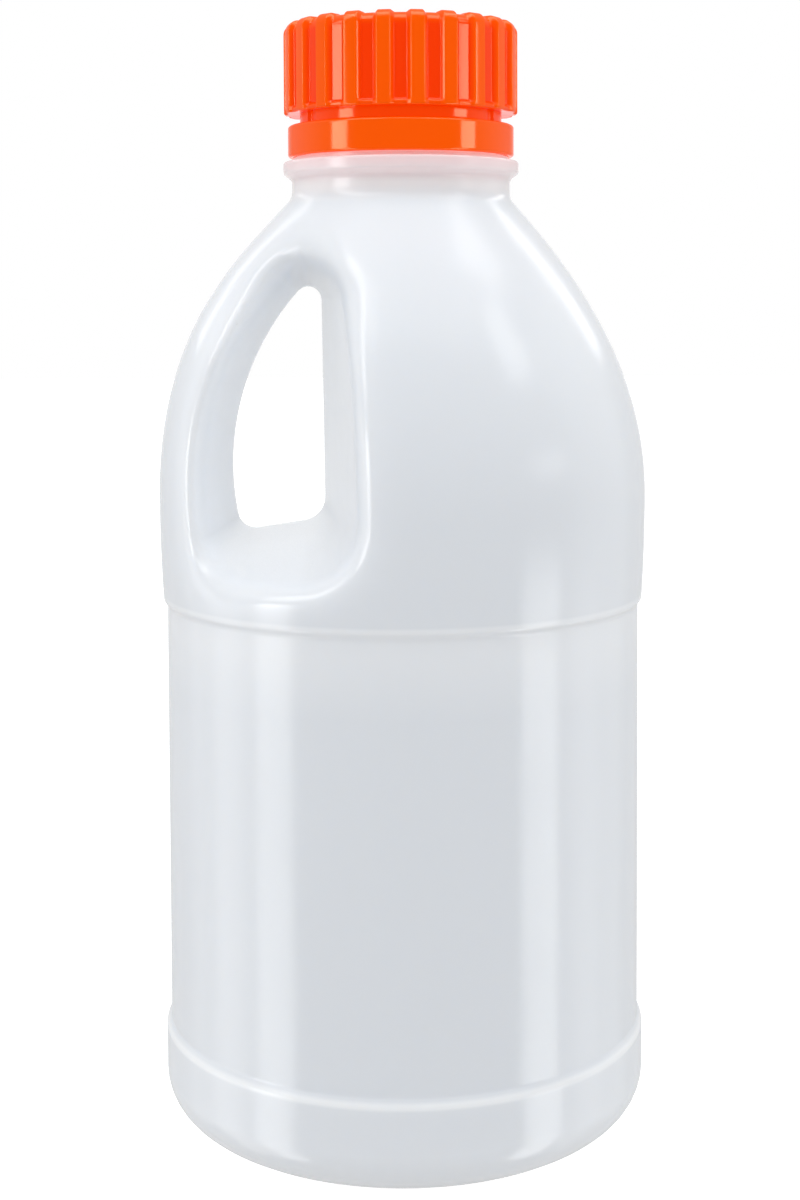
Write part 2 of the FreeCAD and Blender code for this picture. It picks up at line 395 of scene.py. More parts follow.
@dataclass
class JugBody:
    """White blow-moulded body with its handle, shoulder and neck.

    Attributes:
        height: Top of the closed neck inside the cap.
        push_up: Radius of the raised middle of the base, radius of its edge, and its depth.
        push_up_rounding: Rounding at both of these radii.
        heel: Rounding between the side and the base.
        band: Radius of the base band, height of its top edge, and rounding of that edge.
        panel_radius: Radius of the label panel.
        panel: Lower and upper height of the label panel.
        panel_rounding: Rounding in its lower and its upper corner.
        waist: Radius, height and rounding of the edge above the label panel.
        wall_start: Height where the side's own curve takes over from the waist.
        widest: Radius and height of the widest circle.
        shoulder: Radius and height of a circle near the top of the shoulder.
        bulge: How much further the shoulder reaches over the handle, and the share left at its top.
        bulge_heights: Where that starts, is greatest and stops changing.
        neck_radius: Radius of the neck below its bead.
        neck_bend: Softness of the line between the shoulder and the neck.
        bead: Radius of the bead, and the heights of its foot, its lower and its upper edge.
        bead_roundings: Roundings at these heights.
        seat: Radius and top of the land that the tamper ring stands on.
        seat_roundings: Rounding at its foot and at its top.
        spigot: Radius of the neck inside the cap, and the rounding of its top.
        grip_zone: Heights between which the body isn't a plain turned shape.
        net_reach: Least and greatest radius of the net that meshes this zone.
        net_cell: Height and width of the net's cells.
        pocket: The handle's opening.
        rim: The bend round it.
    """

    height: float
    push_up: Triple = (34.0, 39.5, 2.5)
    push_up_rounding: float = 5.0
    heel: float = 11.0
    band: Triple = (59.5, 22.0, 2.2)
    panel_radius: float = 58.35
    panel: Pair = (24.0, 126.5)
    panel_rounding: Pair = (1.6, 2.0)
    waist: Triple = (59.25, 127.8, 1.5)
    wall_start: float = 129.0
    widest: Pair = (60.05, 153.5)
    shoulder: Pair = (28.25, 224.0)
    bulge: Pair = (2.3, 0.25)
    bulge_heights: Triple = (155.5, 206.0, 226.0)
    neck_radius: float = 26.9
    neck_bend: float = 1.5
    bead: tuple[float, float, float, float] = (29.0, 230.3, 231.8, 234.8)
    bead_roundings: Triple = (1.6, 0.8, 0.7)
    seat: Pair = (26.5, 235.85)
    seat_roundings: Pair = (0.3, 0.2)
    spigot: Pair = (23.5, 0.8)
    grip_zone: Pair = (130.0, 229.0)
    net_reach: Pair = (13.0, 62.5)
    net_cell: float = 1.1
    pocket: HandlePocket = field(default_factory=HandlePocket)
    rim: PocketRim = field(default_factory=PocketRim)

    def side_radius(self, z: Array | float) -> Array:
        """Radius of the upper body away from the handle: a slight swell, then a parabola.

        Args:
            z: Heights.

        Returns:
            Radii.
        """
        wide_r, wide_z = self.widest
        low = ((wide_z - z) / (wide_z - self.waist[1])) ** 2 * (wide_r - self.waist[0])
        high = ((z - wide_z) / (self.shoulder[1] - wide_z)) ** 2 * (wide_r - self.shoulder[0])
        return wide_r - np.where(z < wide_z, low, high)

    def side_circle(self, z: float) -> Pair:
        """Radius and height of the upper body's circle at a height."""
        return float(self.side_radius(z)), z

    def handle_reach(self, z: Array) -> Array:
        """How much further the shoulder reaches on the handle's side.

        Args:
            z: Heights.

        Returns:
            Distances.
        """
        start, top, end = self.bulge_heights
        reach, left = self.bulge
        return reach * smoothstep(start, top, z) * (1.0 - (1.0 - left) * smoothstep(top, end, z))

    def skin(self, points: Array) -> Array:
        """Signed distance to the outside without the pocket.

        Args:
            points: Points to measure from.

        Returns:
            Distances, negative inside.
        """
        x, y, z = np.moveaxis(points, -1, 0)
        reach = self.handle_reach(z)
        probe = 0.05
        slope = (self.side_radius(z + probe) - self.side_radius(z - probe)) / (2 * probe)
        body = (np.hypot(x + reach / 2, y) - self.side_radius(z) - reach / 2) / np.sqrt(1 + slope ** 2)
        return soft_min(body, np.hypot(x, y) - self.neck_radius, self.neck_bend)

    def surface(self, points: Array) -> Array:
        """Field whose zero level is the surface of the grip zone, negative inside."""
        return soft_max(self.skin(points), -self.pocket.distance(points), self.rim.bend(points))

    def grip_mesh(self) -> MeshData:
        """Mesh the zone from above the waist to the neck by surface nets.

        Returns:
            Vertices, normals and faces. The first COLUMNS vertices are its lowest ring
            and the next COLUMNS its highest, at the shared angles.
        """
        net = CylinderNet(self.surface, COLUMNS, self.grip_zone, self.net_cell, self.net_reach, self.net_cell)
        low = float(net.levels[0] + net.rise / 2)
        high = float(net.levels[-1] - net.rise / 2)
        return net.mesh(self.side_circle(low), (self.neck_radius, high))

    def foot_outline(self, top: Pair) -> Outline:
        """Outline from the centre of the base up to the grip zone.

        Args:
            top: Radius and height where it ends.

        Returns:
            The rounded outline.
        """
        middle, edge, depth = self.push_up
        return rounded_outline([
            Corner(0.0, depth), Corner(middle, depth, self.push_up_rounding),
            Corner(edge, 0.0, self.push_up_rounding), Corner(self.band[0], 0.0, self.heel),
            Corner(*self.band), Corner(self.panel_radius, self.panel[0], self.panel_rounding[0]),
            Corner(self.panel_radius, self.panel[1], self.panel_rounding[1]),
            Corner(*self.waist), Corner(*self.side_circle(self.wall_start)), Corner(*top)])

    def neck_outline(self, start: Pair) -> Outline:
        """Outline from the grip zone over the bead to the closed top of the neck.

        Args:
            start: Radius and height where it starts.

        Returns:
            The rounded outline.
        """
        radius, foot, low, high = self.bead
        at_foot, at_low, at_high = self.bead_roundings
        land, land_top = self.seat
        land_foot, land_edge = self.seat_roundings
        spigot, top_rounding = self.spigot
        return rounded_outline([
            Corner(*start), Corner(self.neck_radius, foot, at_foot), Corner(radius, low, at_low),
            Corner(radius, high, at_high), Corner(land, high, land_foot),
            Corner(land, land_top, land_edge), Corner(spigot, land_top, land_edge),
            Corner(spigot, self.height, top_rounding), Corner(0.0, self.height)])

    def build(self, paint: bpy.types.Material) -> list[bpy.types.Object]:
        """Build the whole body as one closed mesh.

        Args:
            paint: Its material.

        Returns:
            The body, in a list.
        """
        parts = self.grip_mesh()
        low, high = parts[0][0], parts[0][COLUMNS]
        low_ring = (math.hypot(low[0], low[1]), float(low[2]))
        high_ring = (math.hypot(high[0], high[1]), float(high[2]))
        parts = weld_ring(parts, self.foot_outline(low_ring), 0, at_end=True)
        verts, norms, faces = weld_ring(parts, self.neck_outline(high_ring), COLUMNS, at_end=False)
        body = new_piece("jug_body", verts, faces, norms)
        body.data.materials.append(paint)
        return [body]


def weld_ring(parts: MeshData, outline: Outline, ring: int, at_end: bool) -> MeshData:
    """Add a turned mesh to another one, sharing one ring of vertices.

    Args:
        parts: The mesh so far.
        outline: Outline to turn; one of its ends lies on the shared ring.
        ring: Index of the shared ring's first vertex in the mesh so far.
        at_end: True if the outline's last point is on the ring, False if its first is.

    Returns:
        The joined mesh.
    """
    verts, norms, faces = parts
    new_verts, new_norms, new_faces = turned_mesh(outline, COLUMNS)
    rings = int(np.count_nonzero(outline[0][:, 0] > ON_AXIS))
    shared = (rings - 1) * COLUMNS if at_end else 0
    renumber = np.full(len(new_verts), -1)
    renumber[shared:shared + COLUMNS] = np.arange(ring, ring + COLUMNS)
    fresh = renumber < 0
    renumber[fresh] = len(verts) + np.arange(int(fresh.sum()))
    faces = faces + [[int(renumber[v]) for v in face] for face in new_faces]
    return np.vstack([verts, new_verts[fresh]]), np.vstack([norms, new_norms[fresh]]), faces


class CylinderNet:
    """Surface nets on a grid of angle, height and radius.

    The grid's cells give one vertex each where the field changes sign, so plain
    turned stretches come out as neat rings.

    Attributes:
        PROBE: Half-distance over which the field's slope is taken.
        LONGEST_STEP: Furthest that one step moves a point onto the surface.
        EVEN_ROUNDS: How often the points are evened out.
        EVEN_SHARE: Share of the way towards its neighbours' mean that a point then goes.
    """

    PROBE = 0.02
    LONGEST_STEP = 0.8
    EVEN_ROUNDS = 8
    EVEN_SHARE = 0.5

    def __init__(self, surface: Callable[[Array], Array], count: int, zone: Pair,
                 rise: float, reach: Pair, width: float) -> None:
        """Sample the field.

        Args:
            surface: Field over points, negative inside.
            count: Cells round the axis.
            zone: Lowest and highest height.
            rise: Height of a cell.
            reach: Least and greatest radius.
            width: Radial width of a cell.
        """
        self.surface = surface
        self.count = count
        self.levels = np.linspace(*zone, round((zone[1] - zone[0]) / rise) + 1)
        self.rise = float(self.levels[1] - self.levels[0])
        self.radii = np.arange(reach[0], reach[1] + width, width)
        self.width = width
        self.turn_step = 2 * math.pi / count
        turn = np.arange(count) * 2 * math.pi / count
        grid = np.meshgrid(turn, self.levels, self.radii, indexing="ij")
        values = surface(around(grid[2], grid[1], grid[0]))
        self.values = np.concatenate([values, values[:1]])

    def cell_vertices(self) -> tuple[Array, Array]:
        """Place one vertex in each cell that the surface crosses.

        Returns:
            Index of each cell's vertex, or -1, and the vertices.
        """
        values = self.values
        shape = tuple(n - 1 for n in values.shape)
        total = np.zeros(shape + (3,))
        hits = np.zeros(shape)
        for axis in range(3):
            others = [a for a in range(3) if a != axis]
            for u in (0, 1):
                for v in (0, 1):
                    offset = [0, 0, 0]
                    offset[others[0]], offset[others[1]] = u, v
                    near = values[tuple(slice(o, o + n) for o, n in zip(offset, shape))]
                    offset[axis] = 1
                    far = values[tuple(slice(o, o + n) for o, n in zip(offset, shape))]
                    crossed = (near < 0) != (far < 0)
                    share = np.where(crossed, near / np.where(crossed, near - far, 1.0), 0.0)
                    hits += crossed
                    total[..., axis] += share
                    total[..., others[0]] += crossed * u
                    total[..., others[1]] += crossed * v
        used = hits > 0
        index = np.full(shape, -1)
        index[used] = np.arange(int(used.sum()))
        cells = np.stack(np.nonzero(used), -1) + total[used] / hits[used][:, None]
        points = around(self.radii[0] + cells[:, 2] * self.width,
                        self.levels[0] + cells[:, 1] * self.rise, cells[:, 0] * self.turn_step)
        return index, points

    def quads(self, index: Array) -> Array:
        """Join the four cells round every grid edge that the surface crosses.

        Args:
            index: Index of each cell's vertex.

        Returns:
            Four vertex indices for each face.
        """
        inside = self.values < 0
        before = np.roll(index, 1, axis=0)
        turn = (inside[:-1] != inside[1:])[:, 1:-1, 1:-1]
        lift = (inside[:, :-1] != inside[:, 1:])[:-1, :, 1:-1]
        out = (inside[:, :, :-1] != inside[:, :, 1:])[:-1, 1:-1]
        found = (
            (turn, index[:, :-1, :-1], index[:, 1:, :-1], index[:, 1:, 1:], index[:, :-1, 1:]),
            (lift, before[:, :, :-1], index[:, :, :-1], index[:, :, 1:], before[:, :, 1:]),
            (out, before[:, :-1], index[:, :-1], index[:, 1:], before[:, 1:]))
        return np.concatenate([np.stack([cell[mask] for cell in cells], -1) for mask, *cells in found])

    def gradient(self, points: Array) -> Array:
        """Slope of the field by central differences.

        Args:
            points: Points to take it at.

        Returns:
            A vector for each point.
        """
        slope = np.empty_like(points)
        for axis in range(3):
            step = np.zeros(3)
            step[axis] = self.PROBE
            slope[:, axis] = (self.surface(points + step) - self.surface(points - step)) / (2 * self.PROBE)
        return slope

    def unit_gradient(self, points: Array) -> Array:
        """Outward unit normal of the field."""
        slope = self.gradient(points)
        return slope / np.linalg.norm(slope, axis=-1, keepdims=True)

    def settle(self, points: Array, held: Array, rounds: int) -> Array:
        """Move points onto the surface along the field's slope.

        Args:
            points: Points near the surface.
            held: True for points that stay.
            rounds: Number of steps.

        Returns:
            The moved points.
        """
        limit = self.LONGEST_STEP
        for _ in range(rounds):
            slope = self.gradient(points)
            step = self.surface(points)[:, None] * slope / (slope ** 2).sum(-1, keepdims=True)
            points = np.where(held[:, None], points, points - np.clip(step, -limit, limit))
        return points

    def even_out(self, points: Array, held: Array, faces: Array) -> Array:
        """Space the points evenly along the surface.

        Args:
            points: Points on the surface.
            held: True for points that stay.
            faces: Faces that join them.

        Returns:
            The moved points.
        """
        edges = np.concatenate([faces[:, [n, (n + 1) % 4]] for n in range(4)])
        share = np.bincount(edges.ravel(), minlength=len(points))[:, None]
        for _ in range(self.EVEN_ROUNDS):
            mean = np.zeros_like(points)
            for axis in range(3):
                mean[:, axis] = np.bincount(edges[:, 0], points[edges[:, 1], axis], len(points))
                mean[:, axis] += np.bincount(edges[:, 1], points[edges[:, 0], axis], len(points))
            pull = mean / share - points
            normal = self.unit_gradient(points)
            pull -= (pull * normal).sum(-1, keepdims=True) * normal
            points = np.where(held[:, None], points, points + self.EVEN_SHARE * pull)
            points = self.settle(points, held, rounds=1)
        return points

    def mesh(self, low: Pair, high: Pair) -> MeshData:
        """Build the evened-out mesh.

        Args:
            low: Radius and height of its lowest ring.
            high: Radius and height of its highest ring.

        Returns:
            Vertices, normals and faces, the lowest ring first, then the highest.
        """
        index, points = self.cell_vertices()
        rings = []
        for layer, (radius, z) in ((0, low), (-1, high)):
            ids = index[:, layer].max(axis=-1)
            points[ids] = around(radius, z, ring_angles(self.count))
            rings.append(ids)
        held = np.zeros(len(points), dtype=bool)
        held[np.concatenate(rings)] = True
        faces = self.quads(index)
        points = self.settle(points, held, rounds=4)
        points = self.even_out(points, held, faces)
        points = self.settle(points, held, rounds=2)
        normals = self.unit_gradient(points)
        corner = points[faces]
        facing = np.cross(corner[:, 2] - corner[:, 0], corner[:, 3] - corner[:, 1])
        inwards = (facing * normals[faces].sum(1)).sum(-1) < 0
        faces[inwards] = faces[inwards][:, ::-1]
        order = np.concatenate([*rings, np.nonzero(~held)[0]])
        rank = np.empty(len(points), dtype=int)
        rank[order] = np.arange(len(points))
        return points[order], normals[order], rank[faces].tolist()


# --------------------------------------------------------------------------
# Node trees
# --------------------------------------------------------------------------

def new_group(name: str, kind: str, inputs: dict[str, str], outputs: dict[str, str]) -> bpy.types.NodeTree:
    """Make a node group with its sockets.

    Args:
        name: Name of the group.
        kind: Type of its tree.
        inputs: Kind of each input, by its label.
        outputs: Kind of each output, by its label.

    Returns:
        The group, still without nodes.
    """
    tree = bpy.data.node_groups.new(name, kind)
    for way, sockets in (("INPUT", inputs), ("OUTPUT", outputs)):
        for label, value in sockets.items():
            tree.interface.new_socket(label, in_out=way, socket_type="NodeSocket" + value)
    return tree


def feed(node: bpy.types.Node, tree: bpy.types.NodeTree, inputs: dict[str | int, Source]) -> None:
    """Set or link the inputs of a node.

    Args:
        node: The node.
        tree: Its tree.
        inputs: Value or source socket of each input, by the input's name or number.
    """
    for key, source in inputs.items():
        if isinstance(source, bpy.types.NodeSocket):
            tree.links.new(source, node.inputs[key])
        else:
            node.inputs[key].default_value = source


def add_node(tree: bpy.types.NodeTree, kind: str, inputs: dict[str | int, Source] | None = None,
             **settings: str | int | bpy.types.NodeTree) -> bpy.types.bpy_prop_collection:
    """Add a node.

    Args:
        tree: Tree that gets the node.
        kind: Type of the node.
        inputs: Value or source socket of each input, by the input's name or number.
        **settings: The node's own settings.

    Returns:
        The node's outputs.
    """
    node = tree.nodes.new(kind)
    for name, value in settings.items():
        setattr(node, name, value)
    feed(node, tree, inputs or {})
    return node.outputs


def reckon(tree: bpy.types.NodeTree, operation: str, *values: Source) -> bpy.types.NodeSocket:
    """Add a Math node.

    Args:
        tree: Tree that gets the node.
        operation: What it works out.
        *values: Its values or source sockets, in order.

    Returns:
        The node's result.
    """
    return add_node(tree, "ShaderNodeMath", dict(enumerate(values)), operation=operation)[0]


def ramp(tree: bpy.types.NodeTree, value: Source, span: tuple[Source, Source], ends: tuple[Source, Source],
         interpolation: str = "LINEAR") -> bpy.types.NodeSocket:
    """Add a clamped Map Range node.

    Args:
        tree: Tree that gets the node.
        value: Value to map.
        span: Values between which the result changes.
        ends: Result at either of them.
        interpolation: How it changes between them.

    Returns:
        The node's result.
    """
    sockets = {"Value": value, "From Min": span[0], "From Max": span[1], "To Min": ends[0], "To Max": ends[1]}
    return add_node(tree, "ShaderNodeMapRange", sockets, interpolation_type=interpolation)["Result"]


# --------------------------------------------------------------------------
# Cap and tamper ring
# --------------------------------------------------------------------------

def spin_copies_tree(name: str) -> bpy.types.NodeTree:
    """Geometry Nodes tree that repeats a sector round the Z axis.

    Args:
        name: Name of the tree.

    Returns:
        A tree with the inputs Sector, Count, Step, First and Material.
    """
    inputs = {"Sector": "Geometry", "Count": "Int", "Step": "Float", "First": "Float", "Material": "Material"}
    tree = new_group(name, "GeometryNodeTree", inputs, {"Geometry": "Geometry"})
    given = add_node(tree, "NodeGroupInput")
    places = add_node(tree, "GeometryNodeMeshLine", {"Count": given["Count"], "Offset": (0.0, 0.0, 0.0)})
    index = add_node(tree, "GeometryNodeInputIndex")[0]
    angle = reckon(tree, "MULTIPLY_ADD", index, given["Step"], given["First"])
    turn = add_node(tree, "ShaderNodeCombineXYZ", {"Z": angle})[0]
    copies = add_node(tree, "GeometryNodeInstanceOnPoints",
                      {"Points": places["Mesh"], "Instance": given["Sector"], "Rotation": turn})
    real = add_node(tree, "GeometryNodeRealizeInstances", {0: copies[0]})
    joined = add_node(tree, "GeometryNodeMergeByDistance", {"Geometry": real[0], "Distance": 0.004 * MM})
    painted = add_node(tree, "GeometryNodeSetMaterial",
                       {"Geometry": joined[0], "Material": given["Material"]})
    add_node(tree, "NodeGroupOutput", {0: painted[0]})
    return tree


def grow(piece: bpy.types.Object, tree: bpy.types.NodeTree, values: dict) -> bpy.types.Object:
    """Run a Geometry Nodes tree on a piece and keep the result as its mesh.

    Args:
        piece: Object whose mesh is the tree's geometry input.
        tree: The tree.
        values: Input values by socket name.

    Returns:
        The same object with its new mesh and no modifier.
    """
    modifier = piece.modifiers.new("grow", "NODES")
    modifier.node_group = tree
    for item in tree.interface.items_tree:
        if item.in_out == "INPUT" and item.name in values:
            modifier[item.identifier] = values[item.name]
    done = piece.evaluated_get(bpy.context.evaluated_depsgraph_get())
    mesh = bpy.data.meshes.new_from_object(done)
    piece.modifiers.clear()
    piece.data = mesh
    return piece


def flat_faced_normals(mesh: bpy.types.Mesh) -> None:
    """Give a mesh vertex normals weighted by face area, so that wide faces look flat.

    Args:
        mesh: The mesh.
    """
    count = len(mesh.polygons)
    areas, facing = np.empty(count), np.empty(count * 3)
    mesh.polygons.foreach_get("area", areas)
    mesh.polygons.foreach_get("normal", facing)
    corner = np.empty(len(mesh.loops), dtype=np.int32)
    mesh.loops.foreach_get("vertex_index", corner)
    sizes = np.empty(count, dtype=np.int32)
    mesh.polygons.foreach_get("loop_total", sizes)
    owner = np.repeat(np.arange(count), sizes)
    weighted = facing.reshape(-1, 3) * (areas[:, None] / MM ** 2)
    total = np.stack([np.bincount(corner, weighted[owner, axis], len(mesh.vertices))
                      for axis in range(3)], -1)
    total /= np.maximum(np.linalg.norm(total, axis=-1, keepdims=True), 1e-12)
    mesh.shade_smooth()
    mesh.normals_split_custom_set_from_vertices(total.tolist())


@dataclass
class ScrewCap:
    """Ribbed screw cap.

    Attributes:
        ribs: Number of ribs.
        rib_radius: Radius over the ribs.
        groove_radius: Radius of the grooves' floor.
        belt: Radius and top of the plain belt at the foot of the grooves.
        belt_fade: Height over which the belt runs out into the groove.
        underside: Height of the ribs' underside at its inner and outer edge.
        foot: Rounding of the belt's lower edge.
        top: Top of the ribs.
        rib_proud: How far the ribs stand above the top plate.
        edge: Rounding over the top edge.
        rib_foot_deg: Rib's width where it meets the groove.
        rib_crest_deg: Width of its flat crest.
        rib_edge_deg: Half-width over which its edges are rounded.
        rib_run_in: Radius at which the ribs fade into the top plate.
        rib_end: Steps of that: distance outwards, and share of the drop.
        turned_line: Inner and outer radius of the line turned in the top plate, and its depth.
        gate_mark: Radius and depth of the dimple in the middle, and of the stub in it.
        skirt: Radius and lower edge of the recess under the ribs.
        skirt_columns: Faces round the recess.
        slots_deg: Places of the upright slots in the recess, from the front.
        slot: Width and depth of a slot.
    """

    ribs: int = 22
    rib_radius: float = 28.75
    groove_radius: float = 27.45
    belt: Pair = (28.1, 247.2)
    belt_fade: float = 0.8
    underside: Pair = (246.5, 246.3)
    foot: float = 0.55
    top: float = 268.5
    rib_proud: float = 0.5
    edge: float = 2.6
    rib_foot_deg: float = 10.1
    rib_crest_deg: float = 6.4
    rib_edge_deg: float = 0.42
    rib_run_in: float = 22.5
    rib_end: tuple[Pair, ...] = ((1.5, 0.0), (1.0, 0.15), (0.3, 0.9), (0.0, 1.0), (-1.5, 1.0))
    turned_line: Triple = (16.8, 18.4, 0.3)
    gate_mark: tuple[Pair, Pair] = ((1.6, 0.35), (0.6, 0.1))
    skirt: Pair = (24.85, 243.62)
    skirt_columns: int = 720
    slots_deg: tuple[float, ...] = (60.0, 120.0, 240.0, 300.0)
    slot: Pair = (3.4, 0.8)

    def rib_share(self, angle_deg: Array) -> Array:
        """Profile of a rib across its width.

        Args:
            angle_deg: Angles off its centre line.

        Returns:
            How far each of them belongs to the rib, 0 to 1.
        """
        foot, crest = self.rib_foot_deg / 2, self.rib_crest_deg / 2
        window = np.linspace(-self.rib_edge_deg, self.rib_edge_deg, 15)
        turned = np.abs(angle_deg[:, None] + window)
        return np.clip((foot - turned) / (foot - crest), 0.0, 1.0).mean(-1)

    def side_line(self, radius: float, belt_radius: float, top: float, end: float) -> Array:
        """Outline from the recess up over the top edge, always with the same number of points.

        Args:
            radius: Radius above the belt.
            belt_radius: Radius of the belt.
            top: Height of the top.
            end: Height at the inner end of the ribs.

        Returns:
            Points (radius, height).
        """
        low, high = self.underside
        overlap = 0.9
        slope = (high - low) / (belt_radius - self.skirt[0])
        points = [(self.skirt[0] - overlap, low - overlap * slope), (self.skirt[0], low)]
        turn = math.radians(90.0) - math.atan(slope)
        centre = (belt_radius - self.foot, high + self.foot * math.tan(turn / 2))
        points += arc(centre, self.foot, -turn, 0.0, 5)
        step = np.linspace(0.0, 1.0, 7)
        points += [(belt_radius + (radius - belt_radius) * ease, self.belt[1] + self.belt_fade * share)
                   for share, ease in zip(step, smoothstep(0.0, 1.0, step))]
        points += arc((radius - self.edge, top - self.edge), self.edge, 0.0, math.radians(90.0), 10)
        points += [(self.rib_run_in + outwards, top + (end - top) * drop) for outwards, drop in self.rib_end]
        return np.array(points)

    def rib_sector(self) -> bpy.types.Object:
        """One rib with half a groove on each side, centred on the front.

        Returns:
            The sector's object.
        """
        half = 180.0 / self.ribs
        foot, crest = self.rib_foot_deg / 2, self.rib_crest_deg / 2
        near = 0.45    # columns stand close on both sides of the crest's edge and of the foot
        right = np.concatenate([np.linspace(0.0, crest - near, 3), np.linspace(crest - 0.3, crest + near, 6),
                                np.linspace(foot - near, foot + near, 7), np.linspace(foot + 0.8, half, 4)])
        angles = np.concatenate([-right[:0:-1], right])
        share = self.rib_share(angles)[:, None, None]
        plate = self.top - self.rib_proud
        rib = self.side_line(self.rib_radius, self.rib_radius, self.top, plate)
        groove = self.side_line(self.groove_radius, self.belt[0], plate, plate)
        line = groove[None] * (1 - share) + rib[None] * share
        points = around(line[..., 0], line[..., 1], np.radians(angles)[:, None])
        columns, rings = points.shape[:2]
        grid = np.arange(columns * rings).reshape(columns, rings)
        faces = np.stack([grid[:-1, :-1], grid[1:, :-1], grid[1:, 1:], grid[:-1, 1:]], -1).reshape(-1, 4)
        return new_piece("cap_ribs", points.reshape(-1, 3), faces.tolist())

    def top_plate(self) -> bpy.types.Object:
        """Disc inside the ribs, with a shallow turned line and the moulding's gate mark.

        Returns:
            The disc's object.
        """
        plate = self.top - self.rib_proud
        inner, outer, depth = self.turned_line
        slope = 0.4
        (dimple, dimple_depth), (stub, stub_depth) = self.gate_mark
        line = [Corner(self.rib_run_in - 0.5, plate), Corner(outer, plate, depth),
                Corner(outer - slope, plate - depth, depth), Corner(inner + slope, plate - depth, depth),
                Corner(inner, plate, depth), Corner(dimple, plate, 0.2),
                Corner(dimple - 0.2, plate - dimple_depth, 0.15), Corner(stub, plate - dimple_depth, 0.1),
                Corner(stub - 0.15, plate - stub_depth, 0.1), Corner(0.0, plate - stub_depth)]
        verts, norms, faces = turned_mesh(rounded_outline(line, step_deg=20.0), count=160)
        return new_piece("cap_top", verts, faces, norms)

    def recess(self) -> bpy.types.Object:
        """Wall between the ribs and the tamper ring, with its upright slots.

        Returns:
            The wall's object.
        """
        radius, low = self.skirt
        width, depth = self.slot
        lip, bevel = 3.0, 0.15
        angles = ring_angles(self.skirt_columns)
        cut = np.zeros(self.skirt_columns)
        for place in self.slots_deg:
            off = np.abs((angles - math.radians(place) + math.pi) % (2 * math.pi) - math.pi) * radius
            cut = np.maximum(cut, 1.0 - smoothstep(width / 2 - bevel, width / 2 + bevel, off))
        profile = ((low, lip), (low, bevel), (low + bevel, 0.0), (low + 0.5, 0.0),
                   (self.underside[0] + 0.3, 0.0))
        points = np.concatenate([around(radius - inset - depth * cut, z, angles) for z, inset in profile])
        faces = strip_faces(len(profile), self.skirt_columns)
        piece = new_piece("cap_recess", points, faces.tolist())
        flat_faced_normals(piece.data)
        return piece

    def build(self, paint: bpy.types.Material) -> list[bpy.types.Object]:
        """Build the cap's pieces.

        Args:
            paint: Material of every piece.

        Returns:
            The pieces.
        """
        step = 2 * math.pi / self.ribs
        ribs = grow(self.rib_sector(), spin_copies_tree("spin_copies"),
                    {"Count": self.ribs, "Step": step, "First": step / 2, "Material": paint})
        flat_faced_normals(ribs.data)
        plain = [self.top_plate(), self.recess()]
        for piece in plain:
            piece.data.materials.append(paint)
        return [ribs, *plain]


@dataclass
class TamperRing:
    """Tamper-evident ring under the cap.

    Attributes:
        radius: Outer radius.
        bore: Bore at the neck.
        low: Height of the neck's land that it stands on.
        high: Upper edge.
        rounding: Rounding of the outer edges.
        relief: Outer radius and height of the relief under its bore.
        lift: How far its lower edge stays clear of the land.
        columns: Faces round it.
    """

    radius: float = 27.85
    bore: float = 23.75
    low: float = 235.85
    high: float = 243.55
    rounding: float = 0.7
    relief: Pair = (26.25, 1.2)
    lift: float = 0.02
    columns: int = 288

    def build(self, paint: bpy.types.Material) -> list[bpy.types.Object]:
        """Build the ring as one turned shape.

        Args:
            paint: Its material.

        Returns:
            The ring, in a list.
        """
        edge, rise = self.relief
        foot = self.low + self.lift
        line = [Corner(self.bore, self.low + rise), Corner(edge, self.low + rise, 0.1),
                Corner(edge + 0.3, foot, 0.1), Corner(self.radius, foot, self.rounding),
                Corner(self.radius, self.high, self.rounding), Corner(self.bore, self.high)]
        verts, norms, faces = turned_mesh(rounded_outline(line, step_deg=12.0), self.columns)
        ring = new_piece("ring_band", verts, faces, norms)
        ring.data.materials.append(paint)
        return [ring]


# --------------------------------------------------------------------------
# Materials
# --------------------------------------------------------------------------

@dataclass(frozen=True)
class Layer:
    """Colour painted over a plastic where light or shade falls.

    Attributes:
        colour: Linear base colour.
        zones: Measures that it follows, each with the millimetres where it is absent and
            where it is full.
    """

    colour: Triple
    zones: tuple[tuple[str, float, float], ...]


@dataclass(frozen=True)
class Finish:
    """Look of a moulded plastic.

    Attributes:
        colour: Linear base colour.
        roughness: Mean roughness.
        waviness: Size in millimetres of the faint unevenness, and its bump strength.
        tint: Tint of the reflection.
        glow: Subsurface weight.
        glow_depth: Subsurface radius in millimetres for red, green and blue.
        layers: Painted light and shade as colours over the base, each over those before it.
        painted_own_glow: Strength of a glow painted in the plastic's own colour, which makes it brighter than
            its lighting.
        painted_hollow_glow: Strength of a glow painted into hollows, where it lifts the shade.
        painted_hollow_glow_colour: Colour of that painted glow.
        gloss: Specular level where the surface faces the viewer.
        edge_gloss: Specular level where it is seen edge-on.
        seam: Height of the mould's parting line against the waviness.
    """

    colour: Triple
    roughness: float
    waviness: Pair
    tint: Triple = (1.0, 1.0, 1.0)
    glow: float = 0.0
    glow_depth: Triple = (1.0, 1.0, 1.0)
    layers: tuple[Layer, ...] = ()
    painted_own_glow: float = 0.0
    painted_hollow_glow: float = 0.0
    painted_hollow_glow_colour: Triple = (1.0, 1.0, 1.0)
    gloss: float = 0.5
    edge_gloss: float = 0.5
    seam: float = 0.0


# Painted light: the neck below the ring is paler and faintly pink, lifting the ring's shade and standing for
# the cap's orange bounce.
NECK_PAINTED_LIGHT = Layer((0.90, 0.88, 0.89), (("Height", 224.0, 228.0),))
# Painted reflection: the cap's orange light bouncing onto the bead, as a pink tint.
BEAD_PAINTED_BOUNCE = Layer((0.86, 0.69, 0.71), (("Height", 228.5, 234.5),))
